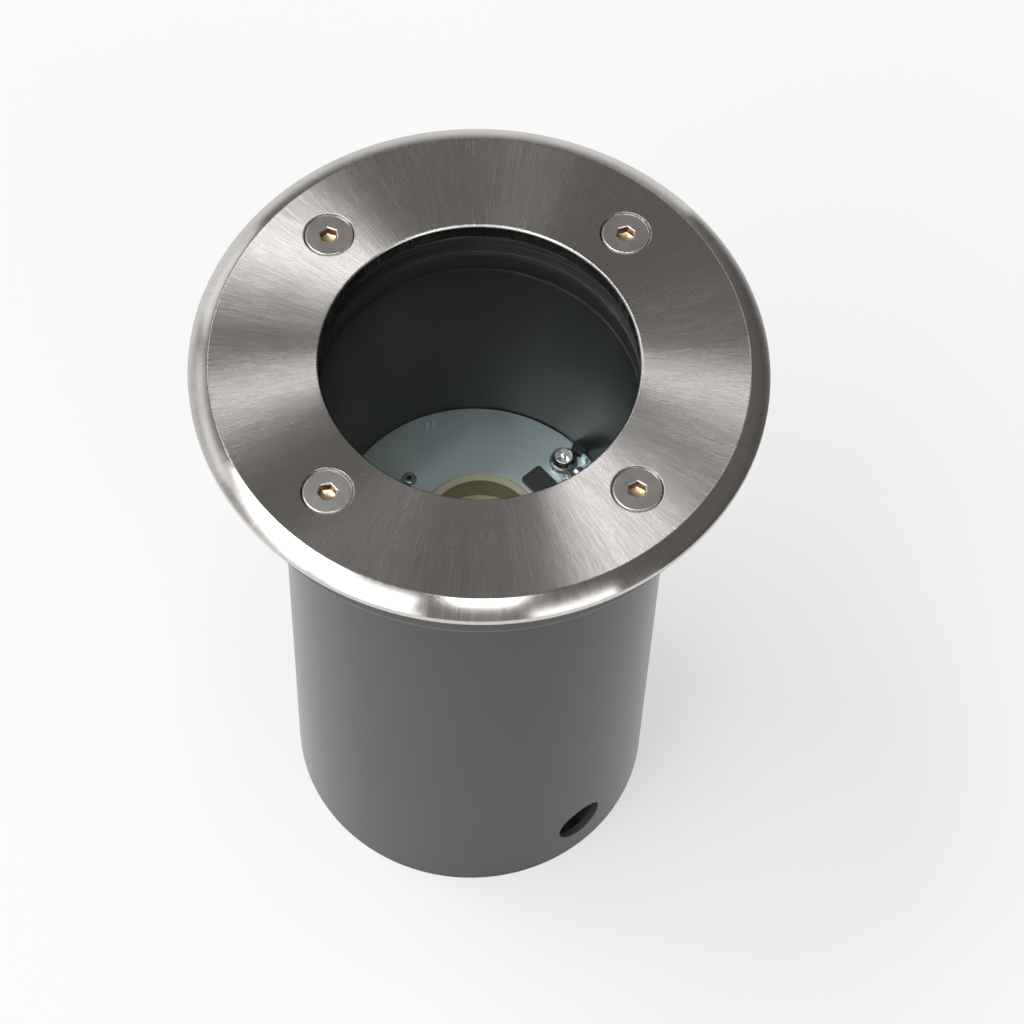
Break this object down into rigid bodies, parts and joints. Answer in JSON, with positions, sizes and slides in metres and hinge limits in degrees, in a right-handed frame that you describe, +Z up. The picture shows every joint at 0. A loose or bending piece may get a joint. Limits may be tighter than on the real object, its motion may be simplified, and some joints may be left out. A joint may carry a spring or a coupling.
{
  "type": "in ground well light",
  "caption": "Round recessed well light: ground sleeve with collar and cable hole, lift-out sealed light unit, glass window and bevelled cover ring on countersunk socket screws.",
  "frame": {"origin": "centre of the ground sleeve's open foot", "axes": "+Z up along the sleeve's axis to the cover ring, +X and +Y midway between the cover screws"},
  "size_m": [0.11, 0.11, 0.153],
  "materials": {
    "sleeve": "smooth satin grey coat",
    "housing": "satin black coat on cast metal",
    "cover_ring": "stainless steel, brushed outwards from the window",
    "cover_screw": "plain stainless steel",
    "window": "clear toughened",
    "gasket": "matt black silicone",
    "zinc_plate": "bright zinc plating",
    "zinc_screw": "bright zinc plating",
    "ceramic": "unglazed cream ceramic",
    "contact_brass": "plain",
    "black_plastic": "moulded, matt",
    "gland_plastic": "moulded nylon, satin",
    "live_sheath": "silicone sheath",
    "neutral_sheath": "silicone sheath",
    "earth_sheath": "silicone sheath"
  },
  "bodies": {
    "sleeve": {"ground_sleeve": "sleeve", "sleeve_collar": "sleeve"},
    "light_unit": {"housing": "housing", "mounting_plate": "zinc_plate", "lampholder": "ceramic", "lamp_contacts": "contact_brass", "lampholder_strap": "zinc_plate", "holder_rivets": "zinc_screw", "lead_grommet": "black_plastic", "earth_screw": "zinc_screw", "earth_washer": "zinc_screw", "earth_lug": "contact_brass", "plate_screw": "zinc_screw", "terminal_block": "black_plastic", "terminal_clamps": "contact_brass", "terminal_screws": "zinc_screw", "terminal_fixings": "zinc_screw", "live_lead": "live_sheath", "neutral_lead": "neutral_sheath", "earth_lead": "earth_sheath", "gland_body": "gland_plastic", "gland_washer": "gasket", "gland_seal": "gasket", "gland_locknut": "gland_plastic"},
    "cover": {"cover_ring": "cover_ring", "glass": "window", "glass_gasket": "gasket"},
    "screw_1": {"cover_screw_1": "cover_screw"},
    "screw_2": {"cover_screw_2": "cover_screw"},
    "screw_3": {"cover_screw_3": "cover_screw"},
    "screw_4": {"cover_screw_4": "cover_screw"},
    "nut": {"gland_nut": "gland_plastic"}
  },
  "joints": [
    {"name": "light_lift", "type": "slide", "parent": "sleeve", "child": "light_unit", "axis": [0, 0, 1], "range_m": [0, 0.12]},
    {"name": "cover_lift", "type": "slide", "parent": "light_unit", "child": "cover", "axis": [0, 0, 1], "range_m": [0, 0.04]},
    {"name": "screw_1_turn", "type": "hinge", "parent": "cover", "child": "screw_1", "pos_m": [0.02857, 0.02857, 0.1468], "axis": [0, 0, 1], "continuous": true},
    {"name": "screw_2_turn", "type": "hinge", "parent": "cover", "child": "screw_2", "pos_m": [-0.02857, 0.02857, 0.1468], "axis": [0, 0, 1], "continuous": true},
    {"name": "screw_3_turn", "type": "hinge", "parent": "cover", "child": "screw_3", "pos_m": [-0.02857, -0.02857, 0.1468], "axis": [0, 0, 1], "continuous": true},
    {"name": "screw_4_turn", "type": "hinge", "parent": "cover", "child": "screw_4", "pos_m": [0.02857, -0.02857, 0.1468], "axis": [0, 0, 1], "continuous": true},
    {"name": "gland_nut_turn", "type": "hinge", "parent": "light_unit", "child": "nut", "pos_m": [0, -0.0135, 0.0406], "axis": [0, 0, 1], "continuous": true}
  ]
}
